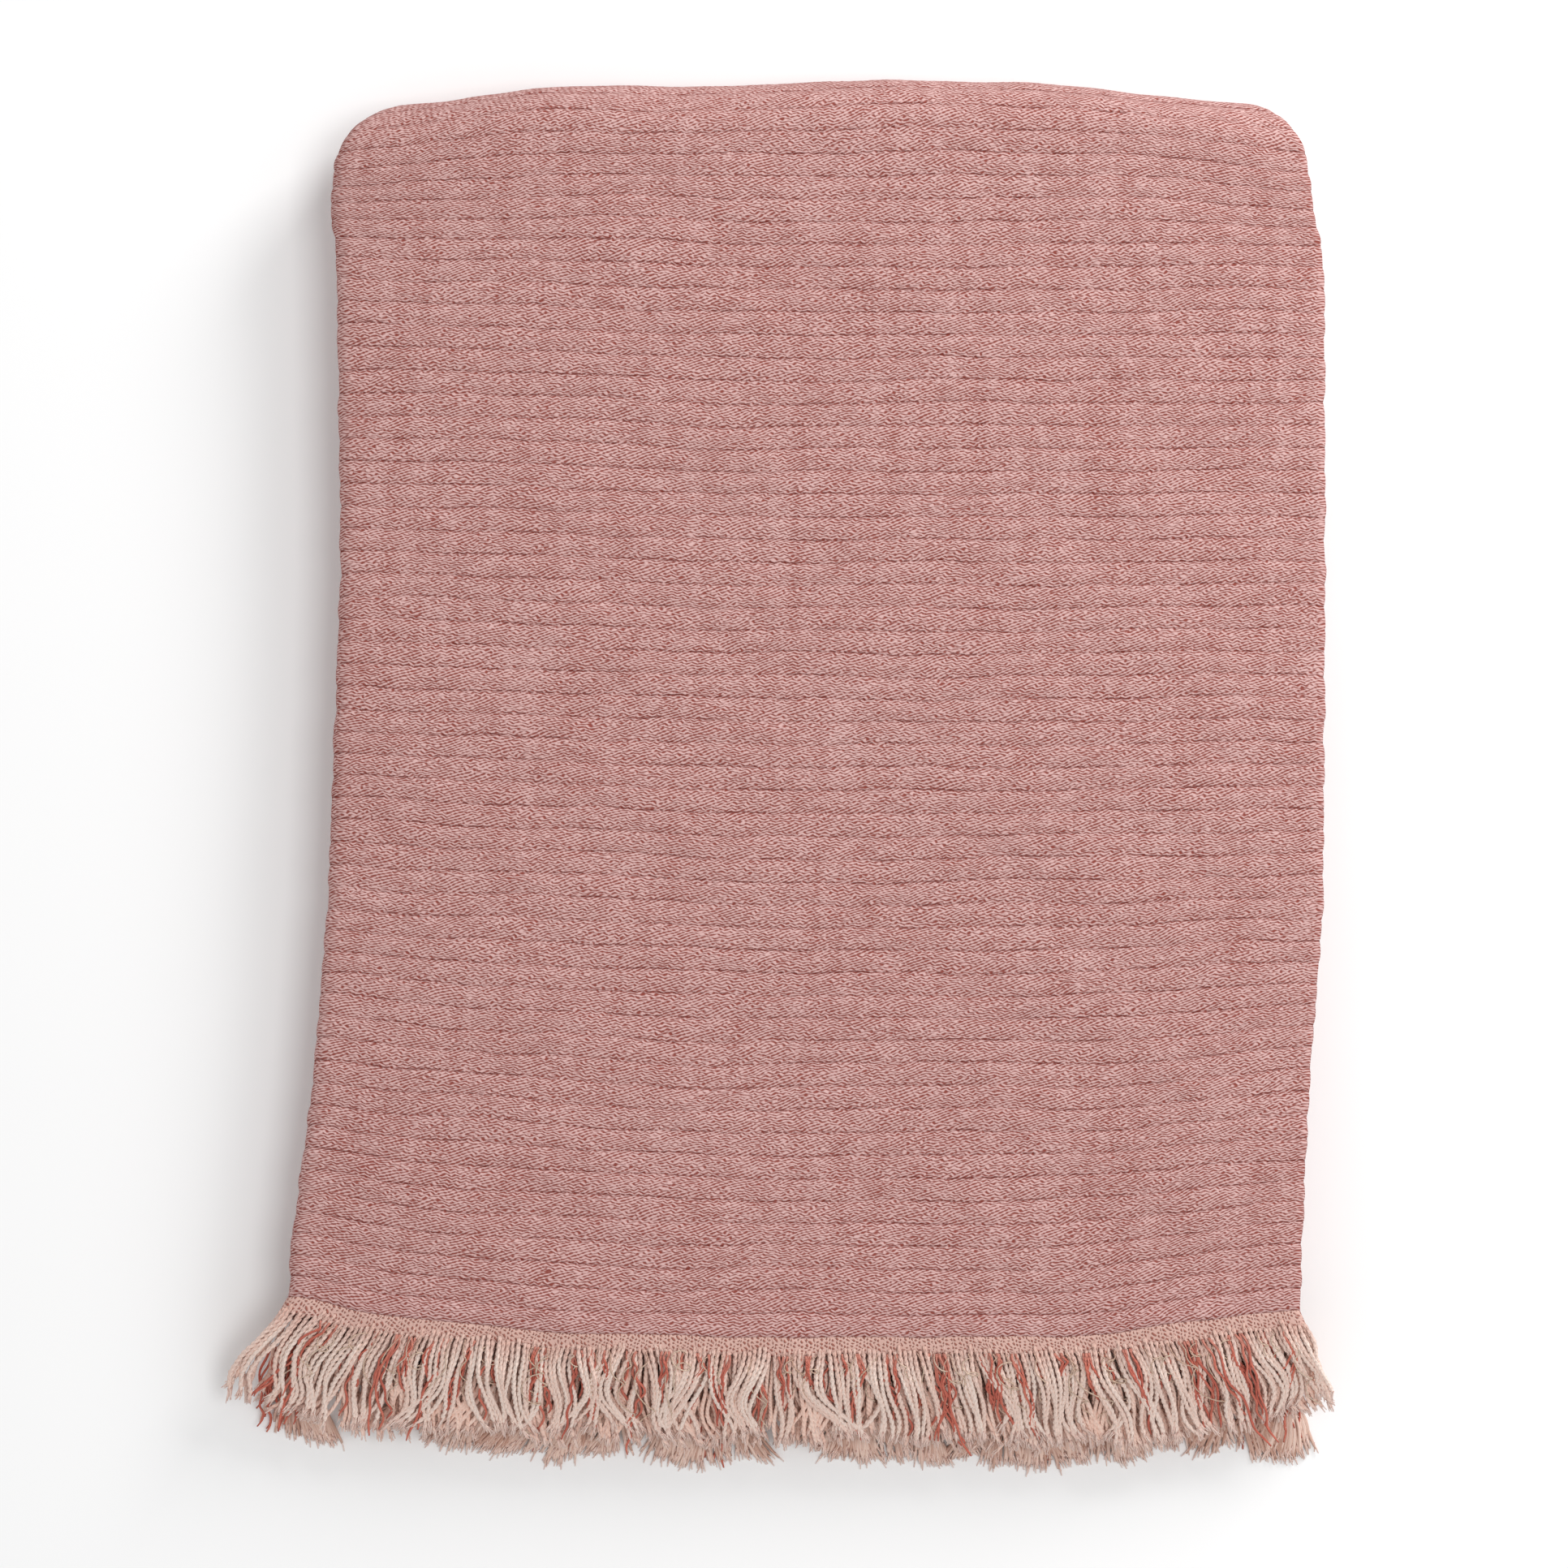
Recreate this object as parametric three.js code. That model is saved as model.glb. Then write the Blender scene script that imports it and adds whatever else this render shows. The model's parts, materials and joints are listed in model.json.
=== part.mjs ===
// A bedspread of crinkled double cotton, about 180 by 225 cm, with a knotless yarn fringe on both short ends.
// It lies folded: in quarters across its width, then in quarters along its length, so that 16 plies lie on
// each other. The last fold is at the back (+Y), and both fringed ends come out at the front (-Y).
// Millimetres, +Z up, underside at Z = 0, origin under the middle of the whole outline.
import * as THREE from 'three';

// The cloth, and how far apart its plies lie
const cloth = { thickness: 2.3, plyPitch: 3.1, ribHeight: 0.9 };
const half = cloth.thickness / 2;
const pliesInStrip = 4;
const stripThickness = pliesInStrip * cloth.plyPitch;
const lowestFace = (cloth.plyPitch - cloth.thickness) / 2;

// The folded bundle before it is draped: half its width, and where its turns and its fringed ends lie
const folded = { halfWidth: 226, backTurnY: 292, frontTurnY: -234, clothEndY: -253.6, selvedgeInset: 16 };

// The heading that closes each end of the cloth, and the locks of yarn that grow out of it
const heading = { width: 7.5, gap: 0.3 };
const lock = { rootWidth: 0.86, tipWidth: 0.5, tipThickness: 0.6, unevenness: 3 };
const uneven = { rise: 1.7, fall: 0.61 };
const sway = { wide: 4, wideLength: 120, fine: 1, fineLength: 30, growth: 1.4 };

// The two fringed ends. Each lower ply ends a little beyond the one above it; locks are counted for each
// step between the cloth's columns, on the ply that shows most and on the others.
const fringedEnds = {
  outer: { endShift: 0, stagger: 1.2, shorter: 0, locksShown: 8, locksHidden: 2, phase: 0.6 },
  under: { endShift: -8, stagger: -1.2, shorter: 11, locksShown: 5, locksHidden: 2, phase: 2.9 },
};

// How the fringe lies from the left side (-1) to the right side (1): sideways lean and forward reach
const fringeLie = [
  { side: -1, lean: -0.82, reach: 35 },
  { side: -0.85, lean: -0.52, reach: 44.5 },
  { side: -0.6, lean: -0.27, reach: 43 },
  { side: -0.3, lean: -0.03, reach: 41 },
  { side: 0.1, lean: 0.06, reach: 41 },
  { side: 0.4, lean: 0.3, reach: 42.5 },
  { side: 0.75, lean: 0.37, reach: 44 },
  { side: 1, lean: 0.45, reach: 40 },
];
const leanOfLowestPly = 0.25;
const shortestBend = 2;
const clumpFullness = 1.6;

// Where the under fringe comes out past the outer one, in clumps
const clumps = [
  { x: -226, halfWidth: 22, reach: 31 },
  { x: -156, halfWidth: 22, reach: 17 },
  { x: -110, halfWidth: 30, reach: 21 },
  { x: -39, halfWidth: 22, reach: 22.5 },
  { x: 30, halfWidth: 28, reach: 17 },
  { x: 62, halfWidth: 18, reach: 20 },
  { x: 104, halfWidth: 28, reach: 22 },
  { x: 142, halfWidth: 24, reach: 19 },
  { x: 182, halfWidth: 24, reach: 18 },
  { x: 207, halfWidth: 12, reach: 29 },
  { x: 226, halfWidth: 18, reach: 29 },
];

// The draped outline seen from above: where the left and right edges lie at each distance along Y
const outline = [
  { y: 292, left: -202.5, right: 235.5 },
  { y: 262, left: -205.5, right: 239 },
  { y: 232, left: -202.3, right: 244 },
  { y: 90, left: -200.4, right: 244.5 },
  { y: -64, left: -206.2, right: 243.5 },
  { y: -150, left: -213, right: 237.2 },
  { y: -234, left: -224, right: 233.5 },
];
const centring = { x: 0.1, y: 2.8 };
const corner = { leftRadius: 34, rightRadius: 32 };

// How far the lines across lie beyond straight ones, towards the back, from side to side
const bowing = [
  { side: -1, back: -9, middle: 7, front: 18.5 },
  { side: -0.84, back: -6, middle: 5.7, front: 9 },
  { side: -0.58, back: 0.4, middle: 4.3, front: 4.6 },
  { side: -0.2, back: 0, middle: 0.9, front: -0.3 },
  { side: 0.2, back: 2.8, middle: 0.9, front: -0.3 },
  { side: 0.58, back: 0.4, middle: 1.2, front: 0.2 },
  { side: 0.84, back: -4.6, middle: 2.3, front: 8 },
  { side: 1, back: -9, middle: 1.5, front: 12 },
];
const bowReach = { backY: 225, backRun: 80, frontY: 20, frontRun: 273.6 };
const sideSink = { depth: 0.12, power: 4 };
const frontSink = { depth: 0.06, startY: 60, run: 300 };
const swell = { height: 0.018, lengthX: 380, startX: 0.8, lengthY: 520, startY: 0.4 };
const furthest = { side: 1.05, corner: 0.98 };

// How the fringe droops to the floor: the share of its fall at each distance along Y, where its locks bend
const droop = [
  { y: -264, fall: 0 },
  { y: -277, fall: 0.26 },
  { y: -290, fall: 0.7 },
  { y: -304, fall: 1 },
];
const fallenPile = { from: 2 * stripThickness, squeeze: 0.94 };

// Lower strips draw in a little at the sides, as the loose inner plies of a folded stack do
const stripWidths = { outer: 1, bottom: 0.985, second: 0.975, under: 0.98 };

const smooth = (t) => {
  const c = THREE.MathUtils.clamp(t, 0, 1);
  return c * c * (3 - 2 * c);
};

// A named column of a table, eased in a straight line between the two rows that key lies between
function fromTable(rows, key, value, column) {
  const rising = rows[0][key] < rows.at(-1)[key];
  const passed = (row) => (rising ? row[key] >= value : row[key] <= value);
  const next = rows.findIndex(passed);
  if (next === 0) return rows[0][column];
  if (next < 0) return rows.at(-1)[column];
  const share = (value - rows[next - 1][key]) / (rows[next][key] - rows[next - 1][key]);
  return THREE.MathUtils.lerp(rows[next - 1][column], rows[next][column], share);
}

// How far a back corner of the given radius has turned in, at y
const backY = folded.backTurnY + 2 * stripThickness + cloth.plyPitch / 2 - lowestFace;
function cornerInset(y, radius) {
  const into = THREE.MathUtils.clamp((y - (backY - radius)) / radius, 0, furthest.corner);
  return radius * (1 - Math.sqrt(1 - into ** 2));
}

const bow = (side, at) => fromTable(bowing, 'side', side, at);

// From the evenly folded bundle to the draped one: outline, bowed ends, sunken sides and drooping fringe
function drape(x, y, z) {
  const side = x / folded.halfWidth;
  const away = Math.min(Math.abs(side), furthest.side);
  const backShare = smooth((y - bowReach.backY) / bowReach.backRun);
  const frontShare = Math.max(0, (bowReach.frontY - y) / bowReach.frontRun);
  const towardsBack = THREE.MathUtils.lerp(bow(side, 'middle'), bow(side, 'back'), backShare);
  const bowed = towardsBack + frontShare * (bow(side, 'front') - bow(side, 'middle'));
  const left = fromTable(outline, 'y', y, 'left') + cornerInset(y, corner.leftRadius);
  const right = fromTable(outline, 'y', y, 'right') - cornerInset(y, corner.rightRadius);
  const height = (z - fallenPile.from) / (2 * stripThickness);
  const plyLean = THREE.MathUtils.lerp(leanOfLowestPly, 1, height);
  const leaning = fromTable(fringeLie, 'side', side, 'lean') * plyLean;
  const past = Math.max(0, folded.clothEndY - y);
  const drapedX = (left + right) / 2 + side * (right - left) / 2 + leaning * past;
  const onFloor = fallenPile.squeeze * (z - fallenPile.from);
  const fallen = THREE.MathUtils.lerp(z, onFloor, fromTable(droop, 'y', y, 'fall'));
  const sunken = 1 - sideSink.depth * away ** sideSink.power;
  const waveX = Math.sin(2 * Math.PI * x / swell.lengthX + swell.startX);
  const waveY = Math.sin(2 * Math.PI * y / swell.lengthY + swell.startY);
  const front = 1 - frontSink.depth * smooth((frontSink.startY - y) / frontSink.run);
  return new THREE.Vector3(
    drapedX + centring.x,
    y + bowed + centring.y,
    fallen * sunken * front * (1 + swell.height * waveX * waveY),
  );
}

// Legs of the way that the cloth takes across its width, from selvedge to selvedge: flat plies and turns.
// Both side edges are turned in, and the bundle is then folded in half along its left edge. Levels count up.
const smallTurn = cloth.plyPitch / 2;
const bigTurn = 1.5 * cloth.plyPitch;
const rightX = folded.halfWidth - smallTurn;
const leftX = -folded.halfWidth + bigTurn;
const selvedgeX = -folded.halfWidth + folded.selvedgeInset;
const acrossLegs = [
  { ply: 1, from: 1, to: 1, startX: selvedgeX, endX: rightX },
  { turn: 'right', from: 1, to: 0, startX: rightX, endX: rightX, steps: 3 },
  { ply: 0, from: 0, to: 0, startX: rightX, endX: leftX },
  { turn: 'left', from: 0, to: 3, startX: leftX, endX: leftX, steps: 5 },
  { ply: 3, from: 3, to: 3, startX: leftX, endX: rightX },
  { turn: 'right', from: 3, to: 2, startX: rightX, endX: rightX, steps: 3 },
  { ply: 2, from: 2, to: 2, startX: rightX, endX: selvedgeX },
];

// Every ply has its columns at the same places, closer together towards the sides
const columnSides = [-0.84, -0.58, -0.2, 0.2, 0.58, 0.84];

function columnXs(leg) {
  if (leg.turn) return Array(leg.steps + 1).fill(leg.startX);
  const between = columnSides.map((side) => side * folded.halfWidth);
  if (leg.endX < leg.startX) between.reverse();
  return [leg.startX, ...between, leg.endX];
}

// Columns across: centre, radius and normal, so that a face lies at centre + (radius + offset) * normal
function acrossColumns() {
  const columns = [];
  acrossLegs.forEach((leg, number) => {
    const xs = columnXs(leg);
    const steps = xs.length - 1;
    for (let i = number === 0 ? 0 : 1; i <= steps; i++) {
      const halfTurn = Math.PI * i / steps;
      const upFirst = leg.from > leg.to ? 1 : -1;
      columns.push({
        x: xs[i],
        height: cloth.plyPitch * (leg.from + leg.to) / 2,
        radius: cloth.plyPitch * Math.abs(leg.to - leg.from) / 2,
        normalX: leg.turn ? Math.sin(halfTurn) * (leg.turn === 'left' ? -1 : 1) : 0,
        normalHeight: leg.turn ? Math.cos(halfTurn) * upFirst : Math.sign(leg.endX - leg.startX),
        ply: leg.ply,
        turnsOut: Boolean(leg.turn) && leg.from + leg.to > 2,
      });
    }
  });
  return columns;
}

// Legs of the way that the strip takes along its length, from the outer fringed end to the under one.
// A ply at height h in the strip lies base + grows * h from the centre of its turn, in the angle's direction.
const outerBase = stripThickness + cloth.plyPitch / 2;
const frontBase = cloth.plyPitch / 2;
const innerBase = stripThickness - cloth.plyPitch / 2;
const alongLegs = [
  { strip: 'outer', centre: 2, base: outerBase, grows: 1, from: 90, to: 90, ribs: 53 },
  { turn: 'back', centre: 2, base: outerBase, grows: 1, from: 90, to: -90, steps: 6, ribs: 7 },
  { strip: 'bottom', centre: 1, base: frontBase, grows: 1, from: -90, to: -90 },
  { turn: 'front', centre: 1, base: frontBase, grows: 1, from: -90, to: -270, steps: 4 },
  { strip: 'second', centre: 1, base: frontBase, grows: 1, from: 90, to: 90 },
  { turn: 'inner', centre: 2, base: innerBase, grows: -1, from: -90, to: 90, steps: 4 },
  { strip: 'under', centre: 2, base: innerBase, grows: -1, from: 90, to: 90 },
];
const stripOrder = ['outer', 'bottom', 'second', 'under'];
const turnOrder = ['back', 'front', 'inner'];

// Where the cloth ends at a fringed end, for a ply at this height in the strip
const endY = (end, height) => folded.clothEndY + end.endShift - end.stagger * (3 - height / cloth.plyPitch);

// How far along a strip its rows lie, from its back end (0) to its front end (1)
const outlineInside = outline.slice(1, -1).map((row) => row.y);
const stripLength = folded.backTurnY - folded.frontTurnY;
const backToFront = [0, ...outlineInside.map((y) => (folded.backTurnY - y) / stripLength), 1];

function row(leg, share) {
  const at = stripOrder.indexOf(leg.strip);
  const towardsBack = leg.strip === 'outer' || leg.strip === 'second';
  const turnAt = turnOrder.indexOf(leg.turn);
  const joined = stripOrder.slice(turnAt, turnAt + 2).map((name) => stripWidths[name]);
  const width = leg.strip ? stripWidths[leg.strip] : THREE.MathUtils.lerp(...joined, smooth(share));
  return {
    forward: leg.strip ? (towardsBack ? 1 - share : share) : Number(leg.turn === 'front'),
    end: at === 0 || at === 3 ? fringedEnds[leg.strip] : null,
    centreZ: leg.centre * stripThickness,
    base: leg.base,
    grows: leg.grows,
    angle: THREE.MathUtils.degToRad(THREE.MathUtils.lerp(leg.from, leg.to, share)),
    width,
    rib: 0,
  };
}

// Rows along the cloth. The ribbed ones have a ridge and a valley for each rib, fading towards the underside.
function alongRows(ribbed) {
  const rows = [];
  alongLegs.forEach((leg, number) => {
    let shares = leg.strip ? backToFront : Array.from({ length: leg.steps + 1 }, (_, i) => i / leg.steps);
    if (leg.strip === 'outer' || leg.strip === 'second') shares = shares.map((share) => 1 - share).reverse();
    if (ribbed && leg.ribs) shares = Array.from({ length: 2 * leg.ribs + 1 }, (_, i) => i / (2 * leg.ribs));
    shares.forEach((share, i) => {
      if (number > 0 && i === 0) return;
      const made = row(leg, share);
      made.position = number + share;
      if (ribbed && leg.ribs && i % 2 === 1) made.rib = cloth.ribHeight * smooth(1 + Math.sin(made.angle));
      rows.push(made);
    });
  });
  return rows;
}

// A point of the draped cloth. On a fringe, fringeY is where along Y the point lies.
function place(column, along, offset, fringeY = null) {
  const reach = column.radius + offset;
  const height = column.height + reach * column.normalHeight;
  const distance = along.base + along.grows * height;
  const frontY = along.end ? endY(along.end, height) : folded.frontTurnY;
  const y = THREE.MathUtils.lerp(folded.backTurnY, frontY, along.forward);
  return drape(
    (column.x + reach * column.normalX) * along.width,
    (fringeY ?? y) + distance * Math.cos(along.angle),
    along.centreZ + distance * Math.sin(along.angle) - lowestFace,
  );
}

// Collects points and the triangles between them, and makes a geometry of them
class Surface {
  constructor() {
    this.points = [];
    this.triangles = [];
  }

  add(point) {
    this.points.push(point.x, point.y, point.z);
    return this.points.length / 3 - 1;
  }

  quad(a, b, c, d) {
    this.triangles.push(a, b, c, a, c, d);
  }

  // The faces between two columns of points, which may differ in number
  zip(first, second, inwards) {
    let a = 0;
    let b = 0;
    while (a < first.length - 1 || b < second.length - 1) {
      const nextA = first[a + 1]?.position ?? Infinity;
      const nextB = second[b + 1]?.position ?? Infinity;
      const tip = nextA <= nextB ? first[a + 1] : second[b + 1];
      const [from, to] = inwards ? [second[b], first[a]] : [first[a], second[b]];
      this.triangles.push(from.index, to.index, tip.index);
      if (nextA <= nextB) a += 1;
      else b += 1;
    }
  }

  geometry(flipped = false) {
    const order = flipped ? [0, 2, 1] : [0, 1, 2];
    const turned = this.triangles.map((_, i) => this.triangles[i - (i % 3) + order[i % 3]]);
    const made = new THREE.BufferGeometry();
    made.setAttribute('position', new THREE.Float32BufferAttribute(this.points, 3));
    made.setIndex(turned);
    made.computeVertexNormals();
    return made;
  }
}

// The folded cloth: one sheet with an outer and an inner face, closed along its four edges
function foldedCloth() {
  const surface = new Surface();
  const columns = acrossColumns();
  const plain = alongRows(false);
  const ribbed = alongRows(true);
  const isRibbed = (j) => columns[j].ply === 3 || (columns[j].turnsOut && columns[j].normalHeight > 0);
  const line = (column, rows, offset) => rows.map((along) => ({
    index: surface.add(place(column, along, offset + (offset > 0 ? along.rib : 0))),
    position: along.position,
  }));
  const outer = columns.map((column, j) => line(column, isRibbed(j) ? ribbed : plain, half));
  const inner = columns.map((column) => line(column, plain, -half));
  for (let j = 0; j < columns.length - 1; j++) {
    surface.zip(outer[j], outer[j + 1], false);
    surface.zip(inner[j], inner[j + 1], true);
    const edge = (at) => [outer[j + 1], outer[j], inner[j], inner[j + 1]].map((side) => side.at(at).index);
    surface.quad(...edge(0));
    surface.quad(...edge(-1).reverse());
  }
  for (let i = 0; i < plain.length - 1; i++) {
    const edge = (j) => [outer.at(j)[i], outer.at(j)[i + 1], inner.at(j)[i + 1], inner.at(j)[i]];
    surface.quad(...edge(0).map((corner) => corner.index));
    surface.quad(...edge(-1).map((corner) => corner.index).reverse());
  }
  return surface.geometry();
}

// How far a lock reaches past its heading, at its place across. Locks in a turn all reach equally far.
function lockReach(end, column, x, number) {
  const beat = Math.sin(uneven.rise * number + end.phase) * Math.cos(uneven.fall * number);
  const differs = column.ply === undefined ? 0 : lock.unevenness * beat;
  const reach = fromTable(fringeLie, 'side', column.x / folded.halfWidth, 'reach') - end.shorter + differs;
  if (end !== fringedEnds.under) return reach;
  const shown = clumps.map((clump) => {
    const inside = 1 - Math.abs(x - clump.x) / clump.halfWidth;
    return clump.reach * smooth(clumpFullness * inside);
  });
  return reach + Math.max(0, ...shown);
}

// A fringed end: the heading as a narrow strip along all four plies, with a lock growing out of each step
function fringedEnd(strip) {
  const surface = new Surface();
  const end = fringedEnds[strip];
  const along = row(alongLegs.find((leg) => leg.strip === strip), strip === 'outer' ? 0 : 1);
  const columns = acrossColumns();

  // Places along the plies: a whole number is a column of the cloth, and the points between lie on its edge
  const bounds = [0];
  for (let j = 0; j < columns.length - 1; j++) {
    const flat = columns[j + 1].ply !== undefined;
    const locks = flat ? (columns[j + 1].ply === 3 ? end.locksShown : end.locksHidden) : 1;
    for (let i = 1; i <= locks; i++) bounds.push(j + i / locks);
  }
  const between = (at, pointOf) => {
    const j = Math.min(Math.floor(at), columns.length - 2);
    return pointOf(columns[j]).lerp(pointOf(columns[j + 1]), at - j);
  };
  const cutY = (column, offset) => endY(end, column.height + (column.radius + offset) * column.normalHeight);
  const edgeLine = (offset, past) => bounds.map((at) => surface.add(
    between(at, (column) => place(column, along, offset, cutY(column, offset) - past)),
  ));
  const rootPast = heading.gap + heading.width;
  const [topNear, topFar] = [edgeLine(half, heading.gap), edgeLine(half, rootPast)];
  const [lowNear, lowFar] = [edgeLine(-half, heading.gap), edgeLine(-half, rootPast)];
  const last = bounds.length - 1;
  surface.quad(topFar[0], topNear[0], lowNear[0], lowFar[0]);
  surface.quad(topNear[last], topFar[last], lowFar[last], lowNear[last]);

  for (let n = 0; n < last; n++) {
    surface.quad(topFar[n], topFar[n + 1], topNear[n + 1], topNear[n]);
    surface.quad(lowFar[n + 1], lowFar[n], lowNear[n], lowNear[n + 1]);
    surface.quad(topNear[n], topNear[n + 1], lowNear[n + 1], lowNear[n]);

    const middle = (bounds[n] + bounds[n + 1]) / 2;
    const column = columns[Math.ceil(middle)];
    const rootY = cutY(column, 0) - rootPast;
    const rootX = between(middle, (own) => place(own, along, 0, rootY)).x;
    const tipY = rootY - lockReach(end, column, rootX, n);
    const isBend = (y) => y < rootY - shortestBend && y > tipY + shortestBend;
    const bends = droop.map((bend) => bend.y).filter(isBend);
    const wide = sway.wide * Math.sin(2 * Math.PI * rootX / sway.wideLength + end.phase);
    const fine = sway.fine * Math.sin(2 * Math.PI * rootX / sway.fineLength + 2 * end.phase);
    let ring = [topFar[n + 1], topFar[n], lowFar[n], lowFar[n + 1]];
    for (const y of [...bends, tipY]) {
      const share = (rootY - y) / (rootY - tipY);
      const width = THREE.MathUtils.lerp(lock.rootWidth, lock.tipWidth, share);
      const thin = THREE.MathUtils.lerp(1, lock.tipThickness, share);
      const corner = (bound, offset) => {
        const at = THREE.MathUtils.lerp(middle, bound, width);
        const point = between(at, (own) => place(own, along, offset, y));
        point.x += share ** sway.growth * (wide + fine);
        return surface.add(point);
      };
      const onFloor = strip === 'under' && column.ply === 3;
      const [top, low] = [onFloor ? half : half * thin, -half * thin];
      const next = [[bounds[n + 1], top], [bounds[n], top], [bounds[n], low], [bounds[n + 1], low]]
        .map(([bound, offset]) => corner(bound, offset));
      for (let s = 0; s < 4; s++) surface.quad(ring[s], ring[(s + 1) % 4], next[(s + 1) % 4], next[s]);
      ring = next;
    }
    surface.quad(...ring);
  }
  return surface.geometry(strip === 'under');
}

const roseCotton = new THREE.MeshStandardMaterial({ color: 0xb98a85, roughness: 0.95, metalness: 0 });
const paleYarn = new THREE.MeshStandardMaterial({ color: 0xcfb2a8, roughness: 0.95, metalness: 0 });

function namedMesh(name, geometry, material) {
  const mesh = new THREE.Mesh(geometry, material);
  mesh.name = name;
  return mesh;
}

const bedspread = new THREE.Group();
bedspread.add(namedMesh('cloth', foldedCloth(), roseCotton));
bedspread.add(namedMesh('outer_fringe', fringedEnd('outer'), paleYarn));
bedspread.add(namedMesh('under_fringe', fringedEnd('under'), paleYarn));

export default bedspread;
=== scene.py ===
import json
import math

import bmesh
import bpy
import numpy as np
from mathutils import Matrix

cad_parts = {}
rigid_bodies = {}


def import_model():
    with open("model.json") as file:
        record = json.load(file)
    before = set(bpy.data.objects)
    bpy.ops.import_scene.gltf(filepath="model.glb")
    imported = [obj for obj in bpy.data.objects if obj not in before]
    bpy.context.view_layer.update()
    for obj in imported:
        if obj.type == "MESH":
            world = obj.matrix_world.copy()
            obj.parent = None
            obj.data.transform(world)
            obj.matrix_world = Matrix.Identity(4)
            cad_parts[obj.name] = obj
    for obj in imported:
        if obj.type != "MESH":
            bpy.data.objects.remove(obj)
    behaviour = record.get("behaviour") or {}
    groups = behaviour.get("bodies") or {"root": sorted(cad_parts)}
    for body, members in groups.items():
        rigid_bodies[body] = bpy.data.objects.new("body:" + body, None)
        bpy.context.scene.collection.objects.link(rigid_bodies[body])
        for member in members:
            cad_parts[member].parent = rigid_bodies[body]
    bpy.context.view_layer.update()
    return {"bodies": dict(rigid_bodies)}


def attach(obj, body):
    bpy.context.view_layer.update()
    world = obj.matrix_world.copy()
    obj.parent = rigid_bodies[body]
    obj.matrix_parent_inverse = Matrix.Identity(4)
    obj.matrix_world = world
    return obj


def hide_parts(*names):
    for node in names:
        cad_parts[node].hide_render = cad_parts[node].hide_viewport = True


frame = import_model()
body = list(frame["bodies"])[0]
mm = 0.001
random = np.random.default_rng(11)

# Sizes in millimetres, the same as the solids have
clothSizes = {"thickness": 2.3, "plyPitch": 3.1, "plies": 4}
folded = {"halfWidth": 226, "backTurnY": 292, "frontTurnY": -234, "clothEndY": -253.6, "selvedgeInset": 16}
heading = {"width": 7.5, "gap": 0.3}
fringedEnds = {
    "outer": {"endShift": 0, "stagger": 1.2, "shorter": 0},
    "under": {"endShift": -8, "stagger": -1.2, "shorter": 11},
}
stripWidths = {"outer": 1, "bottom": 0.985, "second": 0.975, "under": 0.98}
half = clothSizes["thickness"] / 2
plyPitch = clothSizes["plyPitch"]
strip = clothSizes["plies"] * plyPitch
lowestFace = plyPitch / 2 - half

# Outline of the stack seen from above, left and right edge at each y
outline = np.array([
    [-234, -224, 233.5], [-150, -213, 237.2], [-64, -206.2, 243.5], [90, -200.4, 244.5],
    [232, -202.3, 244], [262, -205.5, 239], [292, -202.5, 235.5],
])
# How far the lines across lie beyond straight ones, towards the back:
# side, at the back end, in the middle, at the front end
bowing = np.array([
    [-1, -9, 7, 18.5], [-0.84, -6, 5.7, 9], [-0.58, 0.4, 4.3, 4.6], [-0.2, 0, 0.9, -0.3],
    [0.2, 2.8, 0.9, -0.3], [0.58, 0.4, 1.2, 0.2], [0.84, -4.6, 2.3, 8], [1, -9, 1.5, 12],
])
bowReach = {"backY": 225, "backRun": 80, "frontY": 20, "frontRun": 273.6}
# How the fringe lies: side, lean, reach
fringeLie = np.array([
    [-1, -0.82, 35], [-0.85, -0.52, 44.5], [-0.6, -0.27, 43], [-0.3, -0.03, 41],
    [0.1, 0.06, 41], [0.4, 0.3, 42.5], [0.75, 0.37, 44], [1, 0.45, 40],
])
# Clumps of the under fringe that come out past the outer one: x, half width, reach
clumps = np.array([
    [-226, 22, 31], [-156, 22, 17], [-110, 30, 21], [-39, 22, 22.5], [30, 28, 17], [62, 18, 20],
    [104, 28, 22], [142, 24, 19], [182, 24, 18], [207, 12, 29], [226, 18, 29],
])
clumpLeans = (0.1, -0.55, -0.5, 0.1, -0.05, 0.3, 0.1, 0.25, 0.1, 0.1, -0.15)
droop = np.array([[-304, 1], [-290, 0.7], [-277, 0.26], [-264, 0]])
centring = {"x": 0.1, "y": 2.8}
corner = {"left": 34, "right": 32}
# How the stack settles: shares by which its edges, front and fringe sink, and one long swell
settling = {"edges": 0.12, "front": 0.06, "frontY": 60, "frontRun": 300, "fringe": 0.94,
            "swell": 0.018, "swellLengths": (380, 520)}
# Small irregularities, in mm: lines that wander, a surface that isn't quite level, wavy sides
irregular = {"lines": (1.1, 0.45), "level": (0.7, 0.25), "sides": 0.5, "sidesFrom": 150, "fullHeight": 44}


def smooth(t):
    t = np.clip(t, 0, 1)
    return t * t * (3 - 2 * t)


def eased(table, key, column, reach):
    # A table's column read at key, averaged over a little reach so that its bends are soft
    steps = (-reach, -reach / 2, 0, reach / 2, reach)
    return sum(np.interp(key + step, table[:, 0], table[:, column]) for step in steps) / len(steps)


def ripple(x, y, lengths, seed):
    # Uneven waves of the given lengths in x and y, mostly between -1 and 1
    total = 0
    for k in range(3):
        turn = seed * 1.7 + k * 2.1
        size = 2 * np.pi * (1 + 0.45 * k)
        waveX = size * (x / lengths[0] + 0.4 * np.sin(turn) * y / lengths[1]) + 3 * turn
        waveY = size * (y / lengths[1] + 0.4 * np.cos(turn) * x / lengths[0]) + 5 * turn
        total = total + np.sin(waveX) * np.cos(waveY)
    return total / 2


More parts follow.
